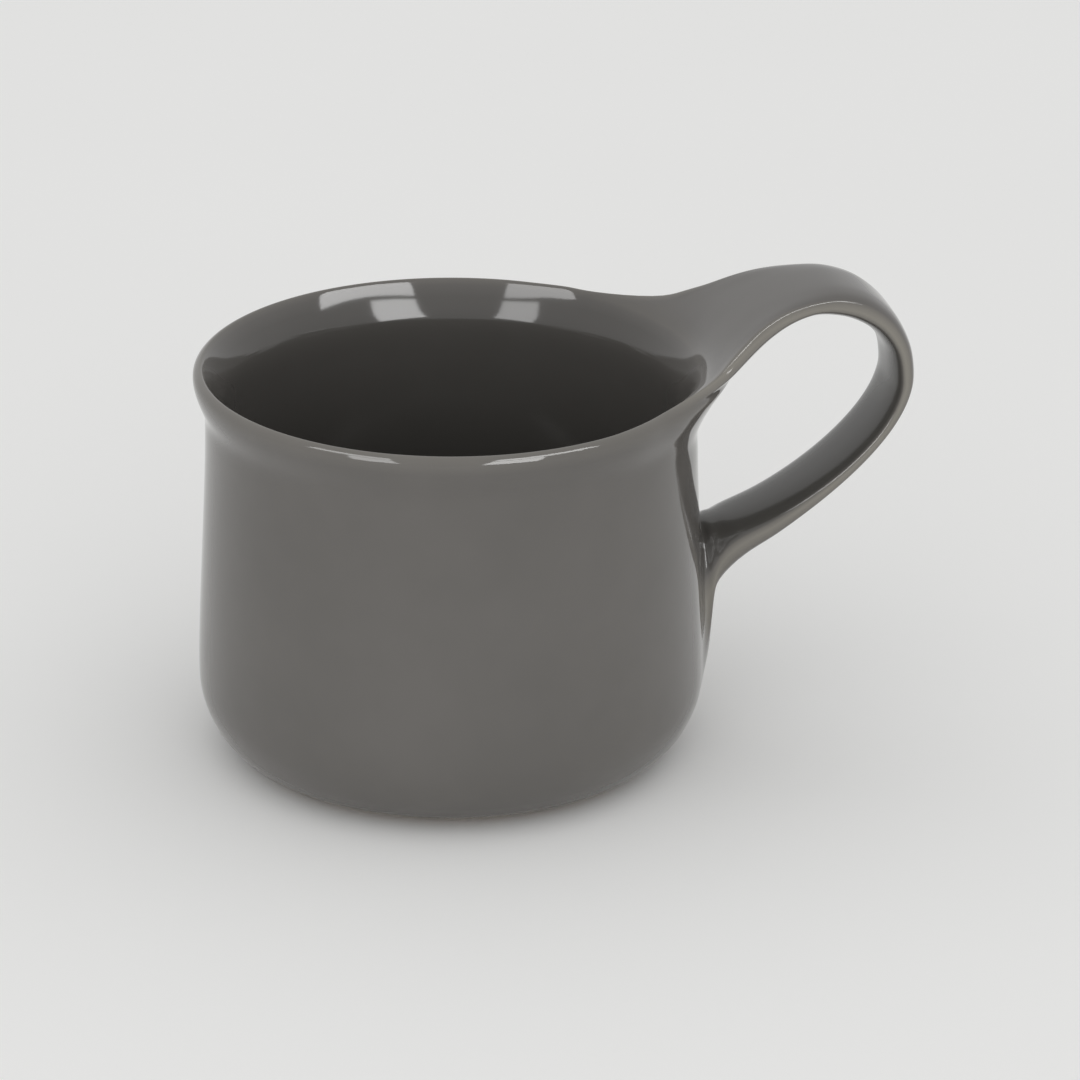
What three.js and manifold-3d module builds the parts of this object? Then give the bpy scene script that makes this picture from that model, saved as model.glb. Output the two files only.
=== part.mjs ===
// A glazed stoneware mug: a low straight cup with an everted lip, and a strap handle drawn up from the rim.
// Millimetres, +Z up. The origin is on the table under the middle of the mug, and +X points to the handle.
import * as THREE from "three";
import { mergeVertices } from "three/addons/utils/BufferGeometryUtils.js";
import Module from "manifold-3d";

// Cup, measured on the bare clay
const CUP_HEIGHT = 72.3;
const RIM_RADIUS = 45.6;
const LIP_RADIUS = 0.7;
const NECK_RADIUS = 43.6;
const FLARE_HEIGHT = 9.8;
const BELLY_RADIUS = 45.5;
const BELLY_HEIGHT = 14.7;
const WALL_EASE = 12;
const WALL = 2.6;
const FLOOR = 4;
const INNER_FLARE_HEIGHT = 6.6;
const INNER_CORNER_RADIUS = 11;
const FOOT_RADIUS = 35.3;
const FOOT_WIDTH = 3.6;
const FOOT_HEIGHT = 1.2;
const FOOT_CHAMFER = 0.4;
const WELL_DEPTH = 1.8;

// Layers on the clay, and the gap kept between layers that are fused on the fired mug
const GLAZE = 0.4;
const SLIP = 0.5;
const BOND_GAP = 0.05;

// Strap, side view: places are out and up from the rim or the wall, angles are headings in degrees,
// and an ease is how far a curve holds its heading
const LIP_TUCK = 0.2;
const ROOT_ANGLE = 70;
const ROOT_EASE = 11.4;
const CROWN_OUT = 21.5;
const CROWN_RISE = 12.5;
const CROWN_LEAN = 2.45;
const CROWN_THICKNESS = 3.9;
const CROWN_EASE_IN = 8.6;
const CROWN_EASE_OUT = 9.7;
const CROWN_INNER_EASE_IN = 6.3;
const CROWN_INNER_EASE_OUT = 5.2;
const GRIP_OUT = 37.7;
const GRIP_DROP = 4.75;
const GRIP_LEAN = 0.65;
const GRIP_THICKNESS = 3.2;
const GRIP_EASE_IN = 10;
const GRIP_EASE_OUT = 10.5;
const GRIP_INNER_EASE_IN = 11;
const GRIP_INNER_EASE_OUT = 12.3;
const UNDER_OUT = 7.1;
const UNDER_HEIGHT = 33.9;
const UNDER_ANGLE = 211;
const UNDER_EASE_IN = 18.4;
const UNDER_EASE_OUT = 13.6;
const TAIL_HEIGHT = 7.6;
const TAIL_TILT = 13;
const TAIL_EASE = 11;
const UPPER_ROOT_DROP = 13.5;
const UPPER_ROOT_TUCK = 1.5;
const LOWER_ROOT_HEIGHT = 38.7;
const LOWER_ROOT_ANGLE = 184;
const LOWER_ROOT_EASE = 14.5;
const ROOT_SINK = 1;

// Strap, seen from above: widths, and the lengths over which the roots fade into the plain strap
const ROOT_WIDTH = 57;
const GRIP_WIDTH = 15.8;
const TAIL_WIDTH = 18;
const ROOT_SPREAD_LENGTH = 12.2;
const ROOT_WRAP_LENGTH = 6.5;
const TAIL_SPREAD_LENGTH = 8;
const SECTION_POWER = 3.2;

// Fineness of the facets
const TURN_STEPS = 48;
const CORNER_STEPS = 6;
const WALL_STEPS = 3;
const FLARE_STEPS = 5;
const LIP_STEPS = 3;
const RING_POINTS = 24;
const SPAN_STEPS = 8;

// Points closer than this are one point
const SAME_POINT = 1e-4;

// Share of the inner outline's last span that faces the outer outline's run before the tail
const TAIL_SPLIT = 0.82;

const neckHeight = CUP_HEIGHT - FLARE_HEIGHT;
const floorTop = WELL_DEPTH + FLOOR;
const crestRadius = RIM_RADIUS - LIP_RADIUS;
const lipHeight = CUP_HEIGHT - LIP_RADIUS;
const rootDepth = crestRadius / 4;

const wasm = await Module();
wasm.setup();

const at = (x, z) => new THREE.Vector2(x, z);

// Joins sampled curves end to end, without repeating the shared points.
function trace(spans) {
  const points = [];
  for (const [curve, steps] of spans) {
    points.push(...curve.getPoints(steps).slice(points.length ? 1 : 0));
  }
  return points;
}

// Outside of the clay, from the top of the foot ring out and up to the crest of the lip.
function outsideTrace() {
  const baseCorner = new THREE.EllipseCurve(
    FOOT_RADIUS,
    BELLY_HEIGHT,
    BELLY_RADIUS - FOOT_RADIUS,
    BELLY_HEIGHT - FOOT_HEIGHT,
    -Math.PI / 2,
    0,
  );
  const wall = new THREE.CubicBezierCurve(
    at(BELLY_RADIUS, BELLY_HEIGHT),
    at(BELLY_RADIUS, BELLY_HEIGHT + WALL_EASE),
    at(NECK_RADIUS, neckHeight - WALL_EASE),
    at(NECK_RADIUS, neckHeight),
  );
  const flare = new THREE.CubicBezierCurve(
    at(NECK_RADIUS, neckHeight),
    at(NECK_RADIUS, neckHeight + FLARE_HEIGHT / 2),
    at(RIM_RADIUS, lipHeight - FLARE_HEIGHT / 2),
    at(RIM_RADIUS, lipHeight),
  );
  const lip = new THREE.EllipseCurve(crestRadius, lipHeight, LIP_RADIUS, LIP_RADIUS, 0, Math.PI / 2);
  return trace([
    [baseCorner, CORNER_STEPS],
    [wall, WALL_STEPS],
    [flare, FLARE_STEPS],
    [lip, LIP_STEPS],
  ]);
}

// Inside of the clay, from the middle of the floor out and up to the crest of the lip.
function insideTrace() {
  const innerBelly = BELLY_RADIUS - WALL;
  const innerNeck = NECK_RADIUS - WALL;
  const innerNeckHeight = CUP_HEIGHT - INNER_FLARE_HEIGHT;
  const innerLip = crestRadius - LIP_RADIUS;
  const cornerMiddle = at(innerBelly - INNER_CORNER_RADIUS, floorTop + INNER_CORNER_RADIUS);
  const floor = new THREE.LineCurve(at(0, floorTop), at(cornerMiddle.x, floorTop));
  const corner = new THREE.EllipseCurve(
    cornerMiddle.x,
    cornerMiddle.y,
    INNER_CORNER_RADIUS,
    INNER_CORNER_RADIUS,
    -Math.PI / 2,
    0,
  );
  const wall = new THREE.CubicBezierCurve(
    at(innerBelly, cornerMiddle.y),
    at(innerBelly, cornerMiddle.y + WALL_EASE),
    at(innerNeck, innerNeckHeight - WALL_EASE),
    at(innerNeck, innerNeckHeight),
  );
  const flare = new THREE.QuadraticBezierCurve(
    at(innerNeck, innerNeckHeight),
    at(innerNeck + (innerLip - innerNeck) / 3, (innerNeckHeight + lipHeight) / 2),
    at(innerLip, lipHeight),
  );
  const lip = new THREE.EllipseCurve(
    crestRadius,
    lipHeight,
    LIP_RADIUS,
    LIP_RADIUS,
    Math.PI,
    Math.PI / 2,
    true,
  );
  return trace([
    [floor, 1],
    [corner, CORNER_STEPS],
    [wall, WALL_STEPS],
    [flare, LIP_STEPS],
    [lip, LIP_STEPS],
  ]);
}

// Moves a traced line sideways, to the right of its direction.
function shifted(points, distance) {
  return points.map((point, i) => {
    const before = points[Math.max(i - 1, 0)];
    const after = points[Math.min(i + 1, points.length - 1)];
    const along = after.clone().sub(before).normalize();
    return at(point.x + along.y * distance, point.y - along.x * distance);
  });
}

// Turns a closed outline about the cup's axis. The outline runs anticlockwise in the side view.
function turned(points) {
  return new THREE.LatheGeometry(points, TURN_STEPS).rotateX(Math.PI / 2);
}

// A closed geometry as a solid that can be cut and joined.
function solid(geometry) {
  const bare = geometry.clone();
  bare.deleteAttribute("normal");
  bare.deleteAttribute("uv");
  const merged = mergeVertices(bare, SAME_POINT);
  const corners = [];
  for (let i = 0; i < merged.index.count; i += 3) {
    const [a, b, c] = merged.index.array.slice(i, i + 3);
    if (a !== b && b !== c && c !== a) corners.push(a, b, c);
  }
  return new wasm.Manifold(
    new wasm.Mesh({
      numProp: 3,
      vertProperties: merged.attributes.position.array,
      triVerts: new Uint32Array(corners),
    }),
  );
}

// A solid's surface as a geometry.
function surface(body) {
  const mesh = body.getMesh();
  const geometry = new THREE.BufferGeometry();
  geometry.setAttribute("position", new THREE.BufferAttribute(mesh.vertProperties, 3));
  geometry.setIndex(new THREE.BufferAttribute(mesh.triVerts, 1));
  geometry.computeVertexNormals();
  return geometry;
}

const outside = outsideTrace();
const inside = insideTrace();
const crest = outside.length - 1;

// The clay's skin from the foot over the lip to the middle of the floor, grown by a distance.
const skin = (distance) => shifted([...outside, ...inside.slice(0, -1).reverse()], distance);

// Radius of the outside of the clay wall at a height.
function wallRadius(height) {
  const i = outside.findIndex((point, k) => k > 0 && point.y >= height);
  const [low, high] = [outside[i - 1], outside[i]];
  return low.x + ((high.x - low.x) * (height - low.y)) / (high.y - low.y);
}

// Heading, in degrees, of a line that runs down the outside of the clay wall past a height.
function wallHeading(height) {
  const run = wallRadius(height + FOOT_HEIGHT) - wallRadius(height);
  return 180 + THREE.MathUtils.radToDeg(Math.atan2(FOOT_HEIGHT, run));
}

// The cup filled to its axis, and on upwards inside the lip, grown by a distance, to cut the strap back.
function filledCup(distance) {
  const top = CUP_HEIGHT + 2 * CROWN_RISE;
  const side = skin(distance).slice(0, crest + 1);
  return solid(turned([at(0, side[0].y), ...side, at(crestRadius, top), at(0, top)]));
}

// A knot of a strap outline: its place, its heading, and how far the curve eases in and out of it.
const knot = (x, z, degrees, before, after) => {
  const turn = THREE.MathUtils.degToRad(degrees);
  const along = at(Math.cos(turn), Math.sin(turn));
  const place = at(x, z);
  return {
    place,
    before: place.clone().addScaledVector(along, -before),
    after: place.clone().addScaledVector(along, after),
  };
};

const span = (a, b) => new THREE.CubicBezierCurve(a.place, a.after, b.before, b.place);

// Outer and inner outlines of the strap in the side view, with as many points, each facing the other's.
function strapOutlines() {
  const crownX = RIM_RADIUS + CROWN_OUT;
  const crownZ = CUP_HEIGHT + CROWN_RISE;
  const gripX = RIM_RADIUS + GRIP_OUT;
  const gripZ = CUP_HEIGHT - GRIP_DROP;
  const upperZ = CUP_HEIGHT - UPPER_ROOT_DROP;
  const lip = knot(crestRadius - LIP_TUCK, CUP_HEIGHT, ROOT_ANGLE, 0, ROOT_EASE);
  const crown = knot(crownX, crownZ, 0, CROWN_EASE_IN, CROWN_EASE_OUT);
  const grip = knot(gripX, gripZ, -90, GRIP_EASE_IN, GRIP_EASE_OUT);
  const underX = BELLY_RADIUS + UNDER_OUT;
  const under = knot(underX, UNDER_HEIGHT, UNDER_ANGLE, UNDER_EASE_IN, UNDER_EASE_OUT);
  const tailAngle = wallHeading(TAIL_HEIGHT) - TAIL_TILT;
  const tail = knot(wallRadius(TAIL_HEIGHT), TAIL_HEIGHT, tailAngle, TAIL_EASE, 0);
  const upperRoot = {
    place: at(wallRadius(upperZ) - ROOT_SINK, upperZ),
    after: at(RIM_RADIUS - UPPER_ROOT_TUCK, CUP_HEIGHT),
  };
  const innerCrown = knot(
    crownX - CROWN_LEAN,
    crownZ - CROWN_THICKNESS,
    0,
    CROWN_INNER_EASE_IN,
    CROWN_INNER_EASE_OUT,
  );
  const innerGrip = knot(
    gripX - GRIP_THICKNESS,
    gripZ - GRIP_LEAN,
    -90,
    GRIP_INNER_EASE_IN,
    GRIP_INNER_EASE_OUT,
  );
  const lowerX = wallRadius(LOWER_ROOT_HEIGHT) - ROOT_SINK;
  const lowerRoot = knot(lowerX, LOWER_ROOT_HEIGHT, LOWER_ROOT_ANGLE, LOWER_ROOT_EASE, 0);
  const lowerRun = span(innerGrip, lowerRoot);
  const outer = trace([
    [span(lip, crown), SPAN_STEPS],
    [span(crown, grip), SPAN_STEPS],
    [span(grip, under), SPAN_STEPS],
    [span(under, tail), SPAN_STEPS],
  ]);
  const inner = trace([
    [span(upperRoot, innerCrown), SPAN_STEPS],
    [span(innerCrown, innerGrip), SPAN_STEPS],
  ]);
  for (let i = 1; i <= 2 * SPAN_STEPS; i += 1) {
    const run = Math.min(i / SPAN_STEPS, 1);
    const past = Math.max(i / SPAN_STEPS - 1, 0);
    inner.push(lowerRun.getPoint(TAIL_SPLIT * run + (1 - TAIL_SPLIT) * past));
  }
  return { outer, inner };
}

const powered = (value) => Math.sign(value) * Math.abs(value) ** (2 / SECTION_POWER);

// One ring of the strap: a flattened round, which at the upper root lies along the lip and hangs below it.
function strapRing(outer, inner, fromLip, fromTail, distance) {
  const lipShare = Math.exp(-fromLip / ROOT_WRAP_LENGTH);
  const tailShare = Math.exp(-fromTail / TAIL_SPREAD_LENGTH);
  const width =
    GRIP_WIDTH +
    (ROOT_WIDTH - GRIP_WIDTH) * Math.exp(-fromLip / ROOT_SPREAD_LENGTH) +
    (TAIL_WIDTH - GRIP_WIDTH) * tailShare;
  const ring = [];
  for (let k = 0; k < RING_POINTS; k += 1) {
    const angle = (2 * Math.PI * k) / RING_POINTS;
    const side = (width / 2 + distance) * powered(Math.cos(angle));
    const up = powered(Math.sin(angle));
    const share = (1 - lipShare) * ((1 - up) / 2) + lipShare * Math.max(-up, 0);
    const middle = outer.clone().lerp(inner, share);
    const sag = crestRadius - Math.sqrt(Math.max(crestRadius ** 2 - side ** 2, 0));
    ring.push(new THREE.Vector3(middle.x - Math.max(lipShare, tailShare) * sag, side, middle.y));
  }
  return ring;
}

// The whole strap before it is cut to the cup, with its ends run on into the cup, grown by a distance.
function strap(distance) {
  const outlines = strapOutlines();
  const outer = shifted(outlines.outer, -distance);
  const inner = shifted(outlines.inner, distance);
  const lengths = outlines.outer.map((point, i, all) => (i ? point.distanceTo(all[i - 1]) : 0));
  const total = lengths.reduce((sum, length) => sum + length, 0);
  let fromLip = 0;
  const rings = outer.map((point, i) => {
    fromLip += lengths[i];
    return strapRing(point, inner[i], fromLip, total - fromLip, distance);
  });
  const rooted = (ring) => ring.map((point) => point.clone().setX(point.x - rootDepth));
  return solid(loft([rooted(rings[0]), ...rings, rooted(rings[rings.length - 1])]));
}

// A closed skin over a row of rings, with a fan over the first and the last.
function loft(rings) {
  const middle = (ring) => {
    const sum = ring.reduce((a, b) => a.add(b), new THREE.Vector3());
    return sum.divideScalar(ring.length);
  };
  const points = [...rings.flat(), middle(rings[0]), middle(rings[rings.length - 1])];
  const lastRing = (rings.length - 1) * RING_POINTS;
  const faces = [];
  for (let k = 0; k < RING_POINTS; k += 1) {
    const next = (k + 1) % RING_POINTS;
    for (let start = 0; start < lastRing; start += RING_POINTS) {
      const end = start + RING_POINTS;
      faces.push(start + k, start + next, end + k);
      faces.push(start + next, end + next, end + k);
    }
    faces.push(points.length - 2, next, k);
    faces.push(points.length - 1, lastRing + k, lastRing + next);
  }
  return new THREE.BufferGeometry().setFromPoints(points).setIndex(faces);
}

// A block that holds everything on the handle's side above, or below, the middle of the finger loop.
function loopHalf(above) {
  const size = 4 * (CUP_HEIGHT + GRIP_OUT);
  const middle = (CUP_HEIGHT - UPPER_ROOT_DROP + LOWER_ROOT_HEIGHT) / 2;
  const block = new THREE.BoxGeometry(size, size, size);
  return solid(block.translate(size / 2, 0, middle + (above ? size : -size) / 2));
}

// The clay cup, with its foot ring and the well inside it.
function cupBody() {
  const wellEdge = FOOT_RADIUS - FOOT_WIDTH;
  const foot = [
    at(0, WELL_DEPTH),
    at(wellEdge - FOOT_CHAMFER, WELL_DEPTH),
    at(wellEdge, FOOT_CHAMFER),
    at(wellEdge + FOOT_CHAMFER, 0),
    at(FOOT_RADIUS - FOOT_CHAMFER, 0),
    at(FOOT_RADIUS, FOOT_CHAMFER),
  ];
  return turned([...foot, ...skin(0)]);
}

// The clay strap, cut back to the slip.
function handle() {
  return surface(strap(0).subtract(filledCup(SLIP)));
}

// The slip between the wall and the upper, or lower, end of the strap.
function slipJoint(above) {
  const bed = filledCup(SLIP - BOND_GAP).subtract(filledCup(BOND_GAP));
  return surface(strap(0).intersect(bed).intersect(loopHalf(above)));
}

// The coat inside the cup, from the middle of the floor up to the crest of the lip.
function linerGlaze() {
  const under = skin(BOND_GAP).slice(crest).reverse();
  const over = skin(GLAZE).slice(crest);
  return turned([...under, ...over]);
}

// The coat outside the cup, from a bare band above the foot to the lip, open for the strap's ends.
function outerGlaze() {
  const side = (distance) => {
    const points = skin(distance).slice(1, crest + 1);
    points[points.length - 1].x += BOND_GAP;
    return points;
  };
  const loop = [...side(GLAZE), ...side(BOND_GAP).reverse()];
  const coat = solid(turned([...loop, loop[0]]));
  return surface(coat.subtract(strap(GLAZE + BOND_GAP)).subtract(strap(BOND_GAP)));
}

// The coat round the strap, which runs on to the clay of the cup.
function handleGlaze() {
  const sleeve = strap(GLAZE).subtract(strap(BOND_GAP));
  return surface(sleeve.subtract(filledCup(BOND_GAP)));
}

// The coat in the well inside the foot ring.
function footWellGlaze() {
  const edge = FOOT_RADIUS - FOOT_WIDTH - FOOT_CHAMFER - GLAZE;
  const [low, high] = [WELL_DEPTH - GLAZE, WELL_DEPTH - BOND_GAP];
  return turned([at(0, low), at(edge, low), at(edge, high), at(0, high)]);
}

const STONEWARE = { color: 0x9a8f82, roughness: 0.85, metalness: 0 };
const GREY_GLAZE = { color: 0x6a6865, roughness: 0.12, metalness: 0 };

function piece(name, geometry, finish) {
  const mesh = new THREE.Mesh(geometry, new THREE.MeshStandardMaterial(finish));
  mesh.name = name;
  return mesh;
}

const mug = new THREE.Group();
mug.add(
  piece("cup_body", cupBody(), STONEWARE),
  piece("handle", handle(), STONEWARE),
  piece("upper_slip_joint", slipJoint(true), STONEWARE),
  piece("lower_slip_joint", slipJoint(false), STONEWARE),
  piece("liner_glaze", linerGlaze(), GREY_GLAZE),
  piece("outer_glaze", outerGlaze(), GREY_GLAZE),
  piece("handle_glaze", handleGlaze(), GREY_GLAZE),
  piece("foot_well_glaze", footWellGlaze(), GREY_GLAZE),
);

// The middle of the whole mug, handle and all, comes over the origin.
const reach = new THREE.Box3().setFromObject(mug);
mug.position.x = -(reach.min.x + reach.max.x) / 2;

export default mug;
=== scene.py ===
"""A glazed stoneware mug with a strap handle drawn up from its rim, dressed around its solids."""

import logging
import math
from collections.abc import Callable, Sequence
from dataclasses import dataclass, field
from enum import Enum
from typing import Any

import bpy
import numpy as np
from mathutils import Matrix, Quaternion, Vector


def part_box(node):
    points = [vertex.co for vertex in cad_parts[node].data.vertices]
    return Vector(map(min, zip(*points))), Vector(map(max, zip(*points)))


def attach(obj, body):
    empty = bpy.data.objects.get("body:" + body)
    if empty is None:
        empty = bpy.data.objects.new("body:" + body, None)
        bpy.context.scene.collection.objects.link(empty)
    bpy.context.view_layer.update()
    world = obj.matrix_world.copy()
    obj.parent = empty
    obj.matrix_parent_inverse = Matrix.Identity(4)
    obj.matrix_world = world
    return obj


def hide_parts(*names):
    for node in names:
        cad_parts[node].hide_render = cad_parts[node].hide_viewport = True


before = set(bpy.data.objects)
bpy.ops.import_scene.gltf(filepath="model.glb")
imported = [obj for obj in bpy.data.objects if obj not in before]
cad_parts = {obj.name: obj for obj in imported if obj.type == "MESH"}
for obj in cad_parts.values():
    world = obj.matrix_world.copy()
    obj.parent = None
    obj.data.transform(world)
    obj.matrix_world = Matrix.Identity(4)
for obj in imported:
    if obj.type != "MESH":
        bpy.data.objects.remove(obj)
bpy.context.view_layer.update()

LOG = logging.getLogger("mug")
MM = 0.001
BODY = "root"
CUP_LOW, CUP_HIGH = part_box("cup_body")
AXIS_X = (CUP_LOW.x + CUP_HIGH.x) / 2
THIN_GLAZE_AND_PAINTED_SHADE = "thin"
WATTS_PER_RADIANCE = 4.0
NOISE_MIDDLE = 0.5

Line = np.ndarray
Ring = list[int]
Place = tuple[int, float]
Colour = tuple[float, float, float, float]


def bezier(knots: Sequence[Sequence[float]], shares: np.ndarray) -> Line:
    """Points on a Bezier curve.

    Args:
        knots: The curve's ends and the controls between them.
        shares: Places along the curve, from 0 to 1.

    Returns:
        One row for each share.
    """
    degree = len(knots) - 1
    weights = [
        math.comb(degree, k) * shares**k * (1 - shares) ** (degree - k) for k in range(degree + 1)
    ]
    return np.stack(weights, axis=1) @ np.asarray(knots, float)


def arc(centre: Sequence[float], radii: Sequence[float], angles: Sequence[float]) -> Line:
    """Points on an ellipse in the side view.

    Args:
        centre: The middle of the ellipse.
        radii: Half its width and half its height.
        angles: The points' angles, in degrees.

    Returns:
        One row for each angle.
    """
    turn = np.radians(angles)
    return centre + np.stack([radii[0] * np.cos(turn), radii[1] * np.sin(turn)], axis=1)


def joined(spans: Sequence[Line]) -> Line:
    """Spans end to end, without the repeated points."""
    return np.concatenate([spans[0], *[span[1:] for span in spans[1:]]])


def moved_aside(line: Line, distance: float) -> Line:
    """A line moved to the right of its own direction.

    Args:
        line: Points in the side view.
        distance: How far, in mm.

    Returns:
        As many points.
    """
    along = np.gradient(line, axis=0)
    along /= np.linalg.norm(along, axis=1, keepdims=True)
    return line + distance * np.stack([along[:, 1], -along[:, 0]], axis=1)


def powered(value: np.ndarray, power: float | np.ndarray) -> np.ndarray:
    """A sine or cosine bent so that a round becomes a flattened round."""
    return np.sign(value) * np.abs(value) ** (2 / power)


def linked(name: str, data: bpy.types.ID) -> bpy.types.Object:
    """Adds an object to the scene.

    Args:
        name: Its name.
        data: Its mesh, lamp or camera.

    Returns:
        The object.
    """
    obj = bpy.data.objects.new(name, data)
    bpy.context.scene.collection.objects.link(obj)
    return obj


def finished_mesh(obj: bpy.types.Object, name: str, crease: float) -> bpy.types.Object:
    """Turns an object with modifiers into a plain one.

    Args:
        obj: The object, which goes.
        name: The new object's name.
        crease: Edges that turn by more than this, in degrees, stay crisp.

    Returns:
        The plain object, linked to the scene.
    """
    graph = bpy.context.evaluated_depsgraph_get()
    mesh = bpy.data.meshes.new_from_object(obj.evaluated_get(graph), depsgraph=graph)
    obj.modifiers.clear()
    old = obj.data
    bpy.data.objects.remove(obj)
    bpy.data.meshes.remove(old)
    mesh.name = name
    mesh.polygons.foreach_set("use_smooth", np.ones(len(mesh.polygons), bool))
    mesh.set_sharp_from_angle(angle=math.radians(crease))
    return linked(name, mesh)


def placed(points: np.ndarray) -> list[tuple[float, float, float]]:
    """Points in mm round the cup's axis, as places in the frame, in metres."""
    return [(x * MM + AXIS_X, y * MM, z * MM) for x, y, z in points]


def mesh_object(name: str, points: np.ndarray, faces: Sequence[Sequence[int]]) -> bpy.types.Object:
    """An object from points in mm round the cup's axis.

    Args:
        name: The object's name.
        points: One row for each corner.
        faces: The corners of each face, anticlockwise from outside.

    Returns:
        The object, linked to the scene.
    """
    mesh = bpy.data.meshes.new(name)
    edges = [] if faces else [(i, i + 1) for i in range(len(points) - 1)]
    mesh.from_pydata(placed(points), edges, faces)
    mesh.update()
    return linked(name, mesh)


def declare(obj: bpy.types.Object, slot: str, *nodes: str) -> None:
    """Ties a finished piece to the body and hides the solids it stands for.

    Args:
        obj: The piece.
        slot: A material slot of the record; not used.
        nodes: The solids it stands for.
    """
    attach(obj, BODY)
    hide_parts(*nodes)
    LOG.info("%s: %d faces, stands for %s", obj.name, len(obj.data.polygons), ", ".join(nodes))


def operator(operation: str, reflected: bool = False) -> Callable[..., "Value"]:
    """An operator of values that adds a Math node.

    Args:
        operation: The node's operation.
        reflected: Whether the value stands second, as in 1 - mask.

    Returns:
        The method.
    """

    def method(value: "Value", other: Any = 0.0) -> "Value":
        """The result of the operation on a value and a value, socket or number."""
        pair = {0: other, 1: value} if reflected else {0: value, 1: other}
        return value.sheet.value(value.sheet.node("ShaderNodeMath", {"operation": operation}, pair))

    return method


class Value:
    """A number that varies over a surface, for sums written as plain expressions."""

    def __init__(self, sheet: "NodeSheet", socket: bpy.types.NodeSocket) -> None:
        """Wraps a socket of a sheet of nodes."""
        self.sheet = sheet
        self.socket = socket

    __add__ = __radd__ = operator("ADD")
    __mul__ = __rmul__ = operator("MULTIPLY")
    __sub__, __rsub__ = operator("SUBTRACT"), operator("SUBTRACT", reflected=True)
    __truediv__, __rtruediv__ = operator("DIVIDE"), operator("DIVIDE", reflected=True)
    __pow__, __rpow__ = operator("POWER"), operator("POWER", reflected=True)
    __lt__ = operator("LESS_THAN")
    at_most = operator("MINIMUM")
    at_least = operator("MAXIMUM")
    rounded_down = operator("FLOOR")


class NodeSheet:
    """A node tree that is filled in by one method."""

    def __init__(self, tree: bpy.types.NodeTree) -> None:
        """Clears a tree to write on."""
        self.tree = tree
        tree.nodes.clear()

    def node(self, kind: str, settings: dict[str, Any], sockets: dict[Any, Any]) -> bpy.types.Node:
        """Adds a node.

        Args:
            kind: The node's type.
            settings: Its own settings, which are set first.
            sockets: Values or links for its inputs, by name or number.

        Returns:
            The node.
        """
        node = self.tree.nodes.new(kind)
        for name, value in settings.items():
            setattr(node, name, value)
        for key, value in sockets.items():
            socket = node.inputs[key]
            if isinstance(value, Value):
                value = value.socket
            if isinstance(value, bpy.types.NodeSocket):
                self.tree.links.new(value, socket)
            else:
                socket.default_value = value
        return node

    def value(self, node: bpy.types.Node, output: Any = 0) -> Value:
        """A node's output as a value."""
        return Value(self, node.outputs[output])

    def mixed(self, share: Value, first: Any, second: Any) -> bpy.types.NodeSocket:
        """A colour between two colours.

        Args:
            share: How much of the second.
            first: A colour or a socket.
            second: A colour or a socket.

        Returns:
            The mixed colour's socket.
        """
        settings = {"data_type": "RGBA", "clamp_factor": True}
        node = self.node("ShaderNodeMix", settings, {0: share, 6: first, 7: second})
        return node.outputs[2]

    def noise(self, scale: float, detail: float, roughness: float) -> Value:
        """Soft noise on the piece's own coordinates.

        Args:
            scale: Waves to a metre.
            detail: How many finer layers.
            roughness: How strong they are.

        Returns:
            The noise, about 0.5.
        """
        place = self.node("ShaderNodeTexCoord", {}, {}).outputs["Object"]
        sockets = {"Vector": place, "Scale": scale, "Detail": detail, "Roughness": roughness}
        return self.value(self.node("ShaderNodeTexNoise", {}, sockets))

    def bump(self, height: Value, strength: float, distance: float) -> bpy.types.NodeSocket:
        """A bumped normal.

        Args:
            height: The height over the surface.
            strength: How much of it counts.
            distance: What a height of 1 is, in metres.

        Returns:
            The normal's socket.
        """
        sockets = {"Strength": strength, "Distance": distance, "Height": height}
        return self.node("ShaderNodeBump", {}, sockets).outputs[0]

    def surface(self, sockets: dict[str, Any]) -> None:
        """Ends a material with a shader of these values and links."""
        shader = self.node("ShaderNodeBsdfPrincipled", {}, sockets)
        self.node("ShaderNodeOutputMaterial", {}, {"Surface": shader.outputs[0]})


def new_material(name: str) -> tuple[bpy.types.Material, NodeSheet]:
    """Starts a material.

    Args:
        name: Its name.

    Returns:
        The empty material and its sheet of nodes.
    """
    material = bpy.data.materials.new(name)
    material.use_nodes = True
    return material, NodeSheet(material.node_tree)


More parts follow.
